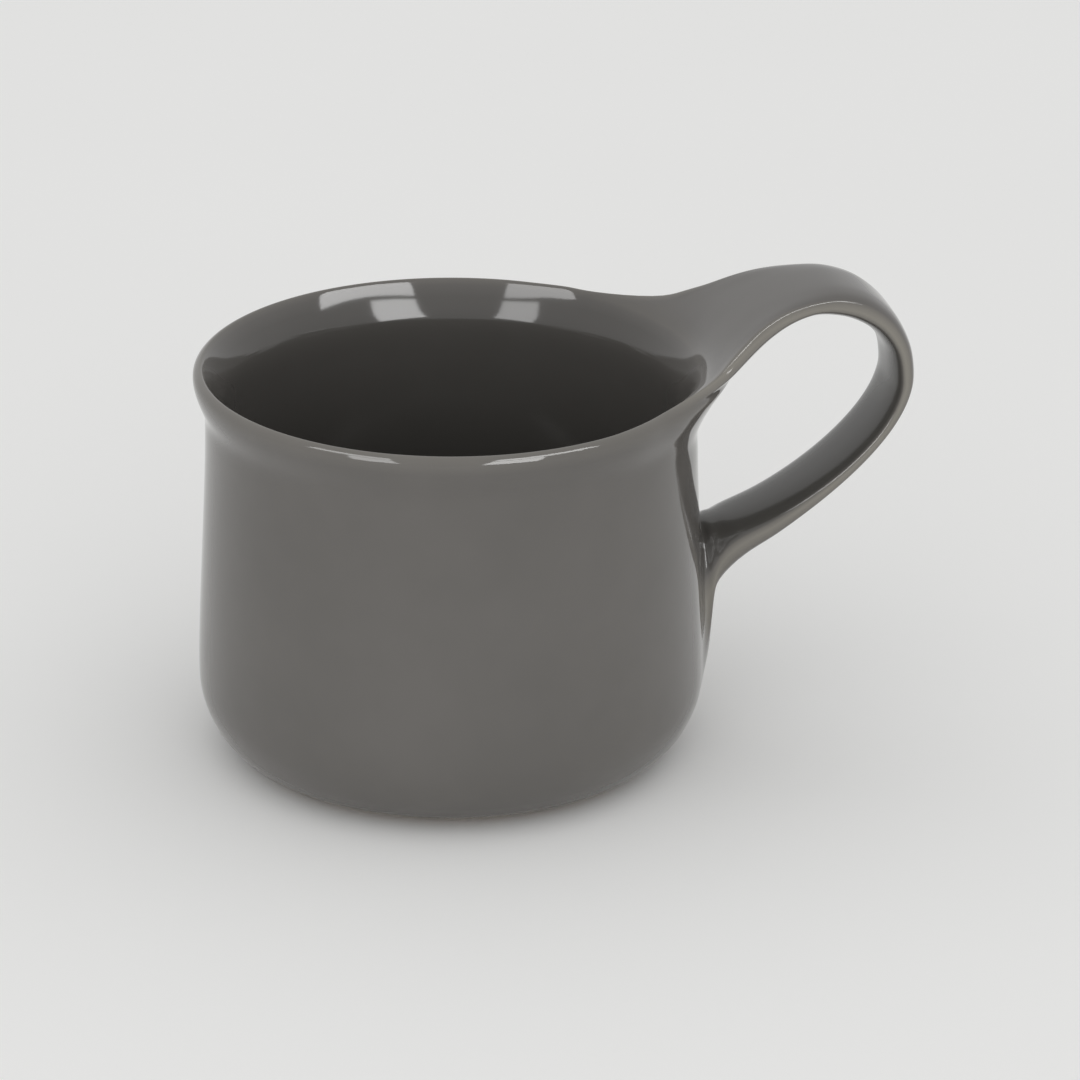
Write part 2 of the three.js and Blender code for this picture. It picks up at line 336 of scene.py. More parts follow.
@dataclass(frozen=True)
class GlazeFinish:
    """Glossy grey glaze: a little uneven, paler where it draws thin, and darker with painted shade
    where the thin mark is below 0.
    """

    name: str = "grey_glaze"
    deep: Colour = (0.128, 0.1205, 0.113, 1.0)
    pooled: Colour = (0.1155, 0.109, 0.102, 1.0)
    # Painted shade: the dark colour mixed in down the inside of the cup and on the strap's inner
    # face.
    settled: Colour = (0.070, 0.067, 0.061, 1.0)
    thin: Colour = (0.232, 0.218, 0.190, 1.0)
    fleck: Colour = (0.05, 0.045, 0.04, 1.0)
    roughness: float = 0.06
    roughness_spread: float = 0.03
    inner_roughness: float = 0.15
    fleck_roughness: float = 0.15
    ior: float = 1.52
    cloud_start: float = 0.38
    cloud_contrast: float = 3.0
    edge_least: float = 0.75
    edge_clouding: float = 0.5
    swell_height: float = 0.8
    grain_height: float = 0.012
    fleck_cells: float = 170.0
    fleck_share: float = 0.03
    fleck_size: float = 0.045
    fleck_strength: float = 0.8

    def material(self) -> bpy.types.Material:
        """Writes the finish's nodes.

        Returns:
            The finished material.
        """
        material, sheet = new_material(self.name)
        clouds = sheet.noise(scale=38.0, detail=3.0, roughness=0.55)
        grain = sheet.noise(scale=900.0, detail=2.0, roughness=0.5)
        swell = sheet.noise(scale=55.0, detail=1.0, roughness=0.4)
        # The thin mark: above 0 the glaze draws thin over an edge, below 0 it carries painted
        # shade.
        attribute = sheet.node("ShaderNodeAttribute", {"attribute_name": THIN_GLAZE_AND_PAINTED_SHADE}, {})
        edge = sheet.value(attribute, "Fac")
        cloudy = (clouds - self.cloud_start) * self.cloud_contrast
        body = sheet.mixed(cloudy, self.pooled, self.deep)
        # Painted shade: below 0 the thin mark darkens the glaze towards the dark colour and
        # roughens it.
        painted_shade_share = (edge * -1.0).at_least(0.0)
        body_with_painted_shade = sheet.mixed(painted_shade_share, body, self.settled)
        bare = edge * (self.edge_least + clouds * self.edge_clouding)
        worn = sheet.mixed(bare, body_with_painted_shade, self.thin)
        flecks = self._flecks(sheet)
        colour = sheet.mixed(flecks * self.fleck_strength, worn, self.fleck)
        rough = self.roughness + (clouds - NOISE_MIDDLE) * self.roughness_spread
        rough = rough + flecks * self.fleck_roughness + painted_shade_share**2 * self.inner_roughness
        height = swell * self.swell_height + grain * self.grain_height
        normal = sheet.bump(height, strength=0.25, distance=0.0004)
        sheet.surface({"Base Color": colour, "Roughness": rough, "IOR": self.ior, "Normal": normal})
        return material

    def _flecks(self, sheet: NodeSheet) -> Value:
        """Tiny dark flecks, a few to the whole mug.

        Args:
            sheet: The sheet to write on.

        Returns:
            1 on a fleck, otherwise 0.
        """
        place = sheet.node("ShaderNodeTexCoord", {}, {}).outputs["Object"]
        cells = sheet.node("ShaderNodeTexVoronoi", {}, {"Vector": place, "Scale": self.fleck_cells})
        parts = sheet.node("ShaderNodeSeparateColor", {}, {0: cells.outputs["Color"]})
        chosen = sheet.value(parts, 0) < self.fleck_share
        near = sheet.value(cells, "Distance") < self.fleck_size
        return chosen * near


@dataclass(frozen=True)
class ClayFinish:
    """Bare fired stoneware: matt, buff and faintly speckled."""

    name: str
    pale: Colour
    dark: Colour
    speck: Colour = (0.10, 0.075, 0.055, 1.0)
    roughness: float = 0.82
    roughness_spread: float = 0.2
    cloud_start: float = 0.35
    cloud_contrast: float = 3.0
    cloud_height: float = 0.4
    speck_start: float = 0.62
    speck_contrast: float = 9.0

    def material(self) -> bpy.types.Material:
        """Writes the finish's nodes.

        Returns:
            The finished material.
        """
        material, sheet = new_material(self.name)
        clouds = sheet.noise(scale=60.0, detail=4.0, roughness=0.6)
        grit = sheet.noise(scale=1800.0, detail=3.0, roughness=0.6)
        cloudy = (clouds - self.cloud_start) * self.cloud_contrast
        body = sheet.mixed(cloudy, self.dark, self.pale)
        specks = (grit - self.speck_start) * self.speck_contrast
        colour = sheet.mixed(specks, body, self.speck)
        rough = self.roughness + (clouds - NOISE_MIDDLE) * self.roughness_spread
        normal = sheet.bump(grit + clouds * self.cloud_height, strength=0.4, distance=0.0002)
        sheet.surface({"Base Color": colour, "Roughness": rough.at_most(1.0), "Normal": normal})
        return material


@dataclass(frozen=True)
class FloorFinish:
    """Pale matt paper."""

    name: str = "floor_paper"
    colour: Colour = (0.93, 0.93, 0.92, 1.0)
    shade: Colour = (0.91, 0.91, 0.90, 1.0)

    def material(self) -> bpy.types.Material:
        """Writes the finish's nodes.

        Returns:
            The finished material.
        """
        material, sheet = new_material(self.name)
        clouds = sheet.noise(scale=6.0, detail=2.0, roughness=0.5)
        colour = sheet.mixed(clouds, self.shade, self.colour)
        sheet.surface({"Base Color": colour, "Roughness": 0.9, "Specular IOR Level": 0.1})
        return material


@dataclass
class CupShape:
    """The bare clay cup in the side view, in mm: out from the axis, and up from the table."""

    height: float = 72.3
    rim_radius: float = 45.6
    lip_radius: float = 0.7
    neck_radius: float = 43.6
    flare_height: float = 9.8
    belly_radius: float = 45.5
    belly_height: float = 14.7
    wall_ease: float = 12.0
    wall: float = 2.6
    floor: float = 4.0
    inner_flare_height: float = 6.6
    inner_corner_radius: float = 11.0
    foot_radius: float = 35.3
    foot_width: float = 3.6
    foot_height: float = 1.2
    foot_chamfer: float = 0.4
    well_depth: float = 1.8
    bare_angle: float = -75.0
    fineness: int = 33
    lip_points: int = 9

    @property
    def crest_radius(self) -> float:
        """Radius of the crest of the lip."""
        return self.rim_radius - self.lip_radius

    @property
    def lip_height(self) -> float:
        """Height of the middle of the lip's round."""
        return self.height - self.lip_radius

    @property
    def floor_top(self) -> float:
        """Height of the floor inside."""
        return self.well_depth + self.floor

    def outside(self, first_angle: float) -> Line:
        """The outside, up to the widest point of the lip.

        Args:
            first_angle: Where on the base's corner it starts, in degrees.

        Returns:
            Its points from below.
        """
        shares = np.linspace(0, 1, self.fineness)
        corner_radii = (self.belly_radius - self.foot_radius, self.belly_height - self.foot_height)
        neck_height = self.height - self.flare_height
        half = self.flare_height / 2
        angles = np.linspace(first_angle, 0, self.fineness)
        corner = arc((self.foot_radius, self.belly_height), corner_radii, angles)
        wall = [
            (self.belly_radius, self.belly_height),
            (self.belly_radius, self.belly_height + self.wall_ease),
            (self.neck_radius, neck_height - self.wall_ease),
            (self.neck_radius, neck_height),
        ]
        flare = [
            (self.neck_radius, neck_height),
            (self.neck_radius, neck_height + half),
            (self.rim_radius, self.lip_height - half),
            (self.rim_radius, self.lip_height),
        ]
        return joined([corner, bezier(wall, shares), bezier(flare, shares)])

    def inside(self) -> Line:
        """The inside of the wall.

        Returns:
            Its points, from the edge of the lip down to the edge of the flat floor.
        """
        shares = np.linspace(0, 1, self.fineness)
        belly = self.belly_radius - self.wall
        neck = self.neck_radius - self.wall
        lip = self.crest_radius - self.lip_radius
        neck_height = self.height - self.inner_flare_height
        radius = self.inner_corner_radius
        middle = (belly - radius, self.floor_top + radius)
        flare = [
            (lip, self.lip_height),
            (neck + (lip - neck) / 3, (neck_height + self.lip_height) / 2),
            (neck, neck_height),
        ]
        wall = [
            (neck, neck_height),
            (neck, neck_height - self.wall_ease),
            (belly, middle[1] + self.wall_ease),
            (belly, middle[1]),
        ]
        corner = arc(middle, (radius, radius), np.linspace(0, -90, self.fineness))
        return joined([bezier(flare, shares), bezier(wall, shares), corner])

    def lip(self, distance: float, angles: Sequence[float]) -> Line:
        """Points on the lip's round, grown by a distance.

        Args:
            distance: How far it is grown, in mm.
            angles: The points' angles, in degrees from the outside over the crest.

        Returns:
            One row for each angle.
        """
        radius = self.lip_radius + distance
        return arc((self.crest_radius, self.lip_height), (radius, radius), angles)

    def clay_outline(self) -> Line:
        """The whole clay outline.

        Returns:
            Its points, from the middle of the well round to the middle of the floor.
        """
        well_edge = self.foot_radius - self.foot_width
        chamfer = self.foot_chamfer
        foot = [
            (0.0, self.well_depth),
            (well_edge - chamfer, self.well_depth),
            (well_edge, chamfer),
            (well_edge + chamfer, 0.0),
            (self.foot_radius - chamfer, 0.0),
            (self.foot_radius, chamfer),
            (self.foot_radius, self.foot_height),
        ]
        lip = self.lip(0.0, np.linspace(0, 180, self.lip_points))
        spans = [np.array(foot), self.outside(-90.0), lip, self.inside()]
        return np.concatenate([joined(spans), [(0.0, self.floor_top)]])

    def wall_radius(self, height: float) -> float:
        """Radius of the outside of the wall at a height."""
        line = self.outside(-90.0)
        return float(np.interp(height, line[:, 1], line[:, 0]))

    def wall_heading(self, height: float) -> float:
        """Heading, in degrees, of a line that runs down the wall past a height."""
        run = self.wall_radius(height + self.foot_height) - self.wall_radius(height)
        return 180 + math.degrees(math.atan2(self.foot_height, run))


@dataclass
class Knot:
    """A point that an outline of the strap passes through, in mm, with its heading in degrees."""

    x: float
    z: float
    heading: float
    ease_in: float
    ease_out: float

    def point(self, ease: float) -> tuple[float, float]:
        """The point that far along the heading."""
        turn = math.radians(self.heading)
        return self.x + ease * math.cos(turn), self.z + ease * math.sin(turn)

    def towards(self, other: "Knot") -> list[tuple[float, float]]:
        """The four controls of the span to the next knot."""
        leaving, arriving = self.point(self.ease_out), other.point(-other.ease_in)
        return [self.point(0), leaving, arriving, other.point(0)]


@dataclass
class StrapShape:
    """The strap handle: its outlines in the side view and its widths, in mm, on the bare clay.

    The eases say how far an outline keeps to its heading before a knot and after it.
    """

    cup: CupShape
    rim_heading: float = 62.0
    rim_ease: float = 12.7
    crown_out: float = 21.3
    crown_rise: float = 12.5
    crown_eases: tuple[float, float] = (9.3, 9.0)
    grip_out: float = 37.5
    grip_drop: float = 4.55
    grip_eases: tuple[float, float] = (9.9, 10.6)
    bend_out: float = 7.1
    bend_height: float = 34.3
    bend_heading: float = 212.0
    bend_eases: tuple[float, float] = (17.8, 13.6)
    tail_height: float = 7.6
    tail_tilt: float = 13.0
    tail_ease: float = 11.0
    upper_root_drop: float = 15.0
    upper_root_heading: float = 82.0
    upper_root_ease: float = 14.8
    inner_crown_back: float = 3.1
    inner_crown_drop: float = 4.35
    inner_crown_eases: tuple[float, float] = (4.5, 5.7)
    inner_grip_back: float = 3.35
    inner_grip_drop: float = 1.05
    inner_grip_eases: tuple[float, float] = (11.3, 11.6)
    lower_root_height: float = 39.4
    lower_root_heading: float = 181.0
    lower_root_ease: float = 14.0
    root_tuck: float = 1.0
    root_width: float = 58.0
    grip_width: float = 15.8
    tail_width: float = 18.0
    root_spread: float = 9.8
    root_spread_power: float = 0.8
    root_wrap: float = 6.5
    tail_spread: float = 8.0
    column_fade: float = 10.0
    outer_power: float = 3.2
    inner_power: float = 2.3
    dish: float = 1.5
    dish_power: float = 4.0
    dish_place: float = 13.0
    dish_length: float = 11.0
    underside_start: float = 0.385
    underside_end: float = 0.485
    underside_points: int = 40
    tail_split: float = 0.82
    fineness: int = 41
    rise_stations: tuple[float, ...] = (0.07, 0.16, 0.27, 0.4, 0.55, 0.7, 0.85, 1.0)
    bend_stations: tuple[float, ...] = (0.12, 0.25, 0.37, 0.5, 0.62, 0.75, 0.87, 1.0)
    run_stations: tuple[float, ...] = (0.09, 0.18, 0.28, 0.38, 0.48, 0.58, 0.68, 0.78, 0.89, 1.0)
    tail_stations: tuple[float, ...] = (0.22, 0.42, 0.62, 0.8)

    def knots(self) -> tuple[list[Knot], list[Knot]]:
        """The strap's two outlines.

        Returns:
            The knots of the outer one and the inner one, from the rim round to the wall.
        """
        cup = self.cup
        level, down = 0.0, -90.0
        rim, belly = cup.rim_radius, cup.belly_radius
        crown = rim + self.crown_out, cup.height + self.crown_rise
        grip = rim + self.grip_out, cup.height - self.grip_drop
        bend = belly + self.bend_out, self.bend_height
        tail = cup.wall_radius(self.tail_height), self.tail_height
        tail_heading = cup.wall_heading(self.tail_height) - self.tail_tilt
        high, low = cup.height - self.upper_root_drop, self.lower_root_height
        upper_root = cup.wall_radius(high) - self.root_tuck, high
        inner_crown = crown[0] - self.inner_crown_back, crown[1] - self.inner_crown_drop
        inner_grip = grip[0] - self.inner_grip_back, grip[1] - self.inner_grip_drop
        lower_root = cup.wall_radius(low) - self.root_tuck, low
        outer = [
            Knot(cup.crest_radius - cup.lip_radius, cup.height, self.rim_heading, 0, self.rim_ease),
            Knot(*crown, level, *self.crown_eases),
            Knot(*grip, down, *self.grip_eases),
            Knot(*bend, self.bend_heading, *self.bend_eases),
            Knot(*tail, tail_heading, self.tail_ease, 0),
        ]
        inner = [
            Knot(*upper_root, self.upper_root_heading, 0, self.upper_root_ease),
            Knot(*inner_crown, level, *self.inner_crown_eases),
            Knot(*inner_grip, down, *self.inner_grip_eases),
            Knot(*lower_root, self.lower_root_heading, self.lower_root_ease, 0),
        ]
        return outer, inner

    def stations(self) -> tuple[list[Place], list[Place]]:
        """Where the rings stand.

        Returns:
            A span and a share of it for each ring, on the outer outline and the inner.
        """
        start, split = self.underside_start, self.tail_split
        spans = (
            (self.rise_stations, 0, start, 1.0),
            (self.bend_stations, 1, 0.0, 1.0),
            (self.run_stations, 2, 0.0, split),
            (self.tail_stations, 2, split, 1.0),
        )
        outer = [(span, share) for span, row in enumerate(spans) for share in row[0]]
        inner = [
            (span, first + (last - first) * share)
            for shares, span, first, last in spans
            for share in shares
        ]
        return outer, inner

    @staticmethod
    def on_outline(knots: list[Knot], places: list[Place], distance: float) -> Line:
        """Points on an outline, moved to the right of its direction.

        Args:
            knots: The outline's knots.
            places: A span and a share of it for each point.
            distance: How far aside, in mm.

        Returns:
            One row for each place.
        """
        step = 1e-3
        rows = []
        for span, share in places:
            controls = knots[span].towards(knots[span + 1])
            before, here, after = bezier(controls, np.array([share - step, share, share + step]))
            along = (after - before) / np.linalg.norm(after - before)
            rows.append(here + distance * np.array([along[1], -along[0]]))
        return np.array(rows)

    def underside(self, distance: float) -> Line:
        """The inner outline from the wall up to where the strap leaves it.

        Args:
            distance: How far it is grown, in mm.

        Returns:
            Its points.
        """
        shares = np.linspace(0, self.underside_end, self.underside_points)
        _, inner = self.knots()
        return self.on_outline(inner, [(0, float(s)) for s in shares], distance)

    def lengths(self) -> tuple[np.ndarray, float]:
        """Lengths along the outer outline.

        Returns:
            The length from the rim to each ring, and the whole length.
        """
        outer, _ = self.knots()
        shares = np.linspace(0, 1, self.fineness)
        spans = [bezier(a.towards(b), shares) for a, b in zip(outer, outer[1:])]
        runs = [np.append(0, np.cumsum(np.linalg.norm(np.diff(s, axis=0), axis=1))) for s in spans]
        starts = np.append(0, np.cumsum([run[-1] for run in runs]))
        places, _ = self.stations()
        reached = [starts[span] + np.interp(share, shares, runs[span]) for span, share in places]
        return np.array(reached), float(starts[-1])

    def width(self, from_rim: float, from_end: float) -> float:
        """Width of the strap at a place.

        Args:
            from_rim: How far it is from the rim, in mm.
            from_end: How far it is from the tail's end, in mm.

        Returns:
            The width, in mm.
        """
        fall = math.exp(-((from_rim / self.root_spread) ** self.root_spread_power))
        spread = (self.root_width - self.grip_width) * fall
        tail = (self.tail_width - self.grip_width) * math.exp(-from_end / self.tail_spread)
        return self.grip_width + spread + tail

    def rings(self, columns: np.ndarray, distance: float) -> list[np.ndarray]:
        """The strap's rings, from the first past the rim to the last before the wall.

        Args:
            columns: How far aside each point of the rim's opening lies, as a share, from +Y to -Y.
            distance: How far the strap is grown, in mm.

        Returns:
            For each ring, the points of the top, a side, the underside and a side, from +Y round.
        """
        outer_knots, inner_knots = self.knots()
        outer_places, inner_places = self.stations()
        outer = self.on_outline(outer_knots, outer_places, -distance)
        inner = self.on_outline(inner_knots, inner_places, distance)
        reached, whole = self.lengths()
        count = 2 * len(columns) + 2
        turn = 2 * math.pi * np.arange(1, count + 1) / count
        power = np.where(np.sin(turn) > 0, self.outer_power, self.inner_power)
        across = powered(np.cos(turn), power)
        up = powered(np.sin(turn), power)
        spread = np.concatenate([columns, [-1.0], columns[::-1], [1.0]])
        crest = self.cup.crest_radius
        rings = []
        for a, b, length in zip(outer, inner, reached):
            wrap = math.exp(-length / self.root_wrap)
            tail = math.exp(-(whole - length) / self.tail_spread)
            fade = math.exp(-length / self.column_fade)
            half = self.width(length, whole - length) / 2 + distance
            side = half * (fade * spread + (1 - fade) * across)
            share = (1 - wrap) * (1 - up) / 2 + wrap * np.maximum(-up, 0)
            hollow = self.dish * math.exp(-(((length - self.dish_place) / self.dish_length) ** 2))
            trough = (up > 0) * (1 - np.abs(side / half) ** self.dish_power)
            share += trough * hollow / np.linalg.norm(b - a)
            middle = a + share[:, None] * (b - a)
            sag = crest - np.sqrt(np.maximum(crest**2 - side**2, 0))
            out = middle[:, 0] - max(wrap, tail) * sag
            rings.append(np.stack([out, side, middle[:, 1]], axis=1))
        return rings


@dataclass
class Cage:
    """A coarse net of points and faces that is smoothed into a skin."""

    points: list[np.ndarray] = field(default_factory=list)
    # Per point: above 0 the glaze draws thin, below 0 the colour is darkened with painted shade.
    thin: list[float] = field(default_factory=list)
    faces: list[tuple[int, ...]] = field(default_factory=list)
    rounds: int = 8

    def add(self, point: Sequence[float], thin: float) -> int:
        """Adds a point.

        Args:
            point: Its place, in mm.
            thin: How thin the glaze is there, or, below 0, how much painted shade darkens it.

        Returns:
            Its number.
        """
        self.points.append(np.asarray(point, float))
        self.thin.append(thin)
        return len(self.points) - 1

    def bridge(self, first: Ring, second: Ring) -> None:
        """Adds the faces between two rings.

        Args:
            first: The points of one ring.
            second: As many points of the next.
        """
        for k, corner in enumerate(first):
            after = (k + 1) % len(first)
            self.faces.append((corner, first[after], second[after], second[k]))

    def drop_unused(self) -> None:
        """Leaves out the points that no face uses."""
        used = sorted({corner for face in self.faces for corner in face})
        number = {old: new for new, old in enumerate(used)}
        self.points = [self.points[old] for old in used]
        self.thin = [self.thin[old] for old in used]
        self.faces = [tuple(number[corner] for corner in face) for face in self.faces]

    def settled(self) -> np.ndarray:
        """The points moved out until the smoothed skin passes through the places they were given.

        Returns:
            One row for each point.
        """
        wanted = np.array(self.points)
        quads = np.array([face for face in self.faces if len(face) == 4])
        fixed = np.unique([corner for face in self.faces if len(face) == 3 for corner in face])
        count = np.maximum(np.bincount(quads.ravel(), minlength=len(wanted)), 1)[:, None]
        sides = [sorted((face[k - 1], face[k])) for face in self.faces for k in range(len(face))]
        pairs, uses = np.unique(np.array(sides), axis=0, return_counts=True)
        border = pairs[uses == 1]
        points = wanted.copy()
        for _ in range(self.rounds):
            beside, across, along = np.zeros((3, *points.shape))
            for k in range(4):
                near = points[quads[:, k - 1]] + points[quads[:, (k + 1) % 4]]
                np.add.at(beside, quads[:, k], near)
                np.add.at(across, quads[:, k], points[quads[:, k - 2]])
            smooth = (count**2 * points + 2 * beside + across) / (count * (count + 5))
            np.add.at(along, border[:, 0], points[border[:, 1]])
            np.add.at(along, border[:, 1], points[border[:, 0]])
            edge = np.unique(border)
            smooth[edge] = (4 * points[edge] + along[edge]) / 6
            move = wanted - smooth
            move[fixed] = 0
            points += move
        return points

    def skin(self, name: str, levels: int, thickness: float, crease: float) -> bpy.types.Object:
        """The smoothed skin, with a real thickness inwards.

        Args:
            name: The object's name.
            levels: How often the net is divided.
            thickness: The skin's thickness, in mm.
            crease: Edges that turn by more than this, in degrees, stay crisp.

        Returns:
            The finished object.
        """
        self.drop_unused()
        obj = mesh_object(name + "_cage", self.settled(), self.faces)
        layer = obj.data.attributes.new(THIN_GLAZE_AND_PAINTED_SHADE, "FLOAT", "POINT")
        layer.data.foreach_set("value", np.array(self.thin, np.float32))
        smooth = obj.modifiers.new("smooth", "SUBSURF")
        smooth.levels = smooth.render_levels = levels
        shell = obj.modifiers.new("shell", "SOLIDIFY")
        shell.thickness = thickness * MM
        shell.offset = -1.0
        return finished_mesh(obj, name, crease)


class Dressed:
    """A piece whose net is given one finish."""

    def dress(self, obj: bpy.types.Object, finish: bpy.types.Material) -> None:
        """Gives the piece its finish."""
        obj.data.materials.clear()
        obj.data.materials.append(finish)


class Root(Enum):
    """Which end of the strap."""

    UPPER = "upper"
    LOWER = "lower"


@dataclass
class GlazeCoat(Dressed):
    """The glaze: one skin from the foot over the lip to the floor, drawn out along the strap."""

    cup: CupShape
    strap: StrapShape
    distance: float = 0.39
    thickness: float = 0.28
    lip_swell: float = 0.097
    levels: int = 2
    columns: int = 48
    root_columns: int = 6
    root_angle: float = 44
    tail_columns: int = 2
    tail_first_row: int = 4
    tail_rows: int = 10
    outside_rows: tuple[float, ...] = (
        2.4, 3.6, 5.0, 6.6, 9.6, 12.8, 16.2, 19.7, 23.3, 27.0, 30.7,
        34.4, 38.0, 41.4, 45.5, 50.0, 54.2, 58.0, 61.4, 64.4, 67.0, 69.4,
    )
    inside_rows: tuple[float, ...] = (
        69.7, 67.6, 64.6, 58.5, 51.0, 43.0, 35.0, 27.0, 20.0, 14.3, 10.2, 7.6,
    )
    floor_rows: tuple[float, ...] = (32.0, 26.0, 13.0)
    lip_angles: tuple[float, ...] = (0.0, 90.0, 150.0)
    lip_thinness: tuple[float, ...] = (0.2, 0.4, 0.15)
    lip_lift: float = 0.4
    lift_spread: float = 9.0
    lift_rows: tuple[float, ...] = (1.0, 1.0, 0.5)
    # Painted shade inside the cup: the liner is darkened at least this much at the top, and fully
    # this far below the rim.
    liner_shade_depth: float = 40.0
    liner_shade_least: float = 0.4
    edge_thinness: float = 1.0
    beside_edge: float = 0.5
    # Painted shade on the strap's inner face: how dark, and how fast it fades in from the strap's
    # ends.
    loop_painted_shade: float = 0.85
    loop_shade_ramp: float = 8.0
    crease: float = 50.0

    cage: Cage = field(default_factory=Cage)
    grid: list[Ring] = field(default_factory=list)

    @property
    def lip_row(self) -> int:
        """The row at the lip's outside."""
        return 1 + len(self.outside_rows)

    def turns(self) -> np.ndarray:
        """The columns round the axis.

        Returns:
            Their angles, in radians, with 0 at the handle.
        """
        half = self.columns // 2
        known = [0, self.root_columns, half]
        side = np.interp(np.arange(half + 1), known, [0, self.root_angle, 180])
        return np.radians(np.concatenate([side, 360 - side[-2:0:-1]]))

    def profile(self) -> Line:
        """The skin's rows in the side view.

        Returns:
            One point for each row, from the foot over the lip to the floor.
        """
        cup, grown = self.cup, self.distance
        outside = moved_aside(cup.outside(cup.bare_angle), grown)
        inside = moved_aside(cup.inside(), grown)[::-1]
        up, down = np.array(self.outside_rows), np.array(self.inside_rows)
        wall = np.stack([np.interp(up, outside[:, 1], outside[:, 0]), up], axis=1)
        lip = cup.lip(grown - self.lip_swell, self.lip_angles)
        liner = np.stack([np.interp(down, inside[:, 1], inside[:, 0]), down], axis=1)
        floor = np.array([(radius, cup.floor_top + grown) for radius in self.floor_rows])
        return np.concatenate([outside[:1], wall, lip, liner, floor])

    def pulls(self) -> np.ndarray:
        """How strongly each column at the rim is drawn to the underside.

        Returns:
            A share for each column, from -Y to +Y.
        """
        half = self.root_columns
        turn = np.pi * np.arange(1, 2 * half + 2) / (2 * half + 2)
        up = powered(np.sin(turn), self.strap.inner_power)
        return (up - up[0]) / (1 - up[0])

    def lift(self, row: int, turn: float) -> float:
        """How far the lip rises towards the strap's two corners.

        Args:
            row: The row, counted from the lip's top.
            turn: The column's angle, in radians.

        Returns:
            The rise, in mm.
        """
        if abs(row) >= len(self.lift_rows):
            return 0.0
        away = math.degrees(min(turn, 2 * math.pi - turn)) - self.root_angle
        share = self.lift_rows[abs(row)] * math.exp(-((away / self.lift_spread) ** 2))
        return self.lip_lift * share

    def thinness_and_painted_shade(self, row: int, height: float) -> float:
        """How thin the glaze is on the cup, or, where it is less than 0, how much painted shade
        darkens the inside, more with depth.

        Args:
            row: The row, counted from the lip's outside.
            height: The row's height, in mm.

        Returns:
            From -1 to 1.
        """
        if row < 0:
            return 0.0
        if row < len(self.lip_thinness):
            return self.lip_thinness[row]
        # Painted shade, darker deeper inside the cup.
        painted_shade_share = (self.cup.height - height) / self.liner_shade_depth
        return -min(max(painted_shade_share, self.liner_shade_least), 1.0)

    def build(self) -> bpy.types.Object:
        """Builds the coat.

        Returns:
            The finished object.
        """
        self._add_cup_points()
        self._add_cup_faces()
        self._add_strap()
        return self.cage.skin("glaze_coat", self.levels, self.thickness, self.crease)

    def _add_cup_points(self) -> None:
        """Adds the cup's points, row by row, with the wall drawn out under the strap."""
        under = self.strap.underside(self.distance)
        half = self.root_columns
        pulls, turns = self.pulls(), self.turns()
        for i, (radius, height) in enumerate(self.profile()):
            row = i - self.lip_row
            thin = self.thinness_and_painted_shade(row, height)
            reach = float(np.interp(height, under[:, 1], under[:, 0]))
            drawn = max(reach - radius, 0.0) if under[0, 1] < height and row <= 0 else 0.0
            ring = []
            for j, turn in enumerate(turns):
                column = j if j <= len(turns) // 2 else j - len(turns)
                share = pulls[column + half] if abs(column) <= half else 0.0
                out = radius + share * drawn
                top = height + self.lift(row - 1, turn)
                ring.append(self.cage.add((out * math.cos(turn), out * math.sin(turn), top), thin))
            self.grid.append(ring)

    def _add_cup_faces(self) -> None:
        """Adds the cup's faces, open at the strap's two ends."""
        half, side, first = self.root_columns, self.tail_columns, self.tail_first_row
        lip_rows = len(self.lip_angles) - 1
        faces = self.cage.faces
        for i, (low, high) in enumerate(zip(self.grid, self.grid[1:])):
            for j in range(self.columns):
                column = j if j < self.columns // 2 else j - self.columns
                at_rim = 0 <= i - self.lip_row < lip_rows and -half <= column < half
                at_tail = 0 <= i - first < self.tail_rows and -side <= column < side
                if not at_rim and not at_tail:
                    after = (j + 1) % self.columns
                    faces.append((low[j], low[after], high[after], high[j]))
        # The floor's middle carries the full painted shade.
        middle = self.cage.add((0.0, 0.0, self.cup.floor_top + self.distance), -1.0)
        floor = self.grid[-1]
        for j in range(self.columns):
            faces.append((floor[j], floor[(j + 1) % self.columns], middle))

    def opening(self, root: Root) -> Ring:
        """The edge of the opening for one end of the strap, in the order of a ring.

        Args:
            root: Which end.

        Returns:
            The points' numbers.
        """
        grid = self.grid
        if root is Root.UPPER:
            half = self.root_columns
            across = range(half, -half - 1, -1)
            under, crest, top = grid[self.lip_row : self.lip_row + len(self.lip_angles)]
            over = [top[j] for j in across]
            return [*over, crest[-half], *[under[j] for j in reversed(across)], crest[half]]
        side, first = self.tail_columns, self.tail_first_row
        last = first + self.tail_rows
        middle = first + self.tail_rows // 2
        across = range(side, -side - 1, -1)
        down = [grid[i][side] for i in range(middle - 1, first, -1)]
        up = [grid[i][-side] for i in range(first + 1, middle)]
        climb = [grid[i][-side] for i in range(middle + 1, last)]
        fall = [grid[i][side] for i in range(last - 1, middle, -1)]
        outer = [*down, *[grid[first][j] for j in across], *up]
        inner = [*climb, *[grid[last][j] for j in reversed(across)], *fall]
        return [*outer, grid[middle][-side], *inner, grid[middle][side]]

    def _add_strap(self) -> None:
        """Adds the strap from the rim's opening to the wall's."""
        sines = np.sin(self.turns()[: self.root_columns + 1])
        spread = sines / sines[-1]
        columns = np.concatenate([spread[::-1], -spread[1:]])
        count = len(columns)
        edges, loop_side = np.zeros((2, 2 * count + 2))
        edges[[count, 2 * count + 1]] = 1.0
        edges[[0, count - 1, count + 1, 2 * count]] = self.beside_edge
        loop_side[count + 2 : 2 * count] = 1.0
        lengths, whole = self.strap.lengths()
        before = self.opening(Root.UPPER)
        for points, length in zip(self.strap.rings(columns, self.distance), lengths):
            from_end = min(length, whole - length)
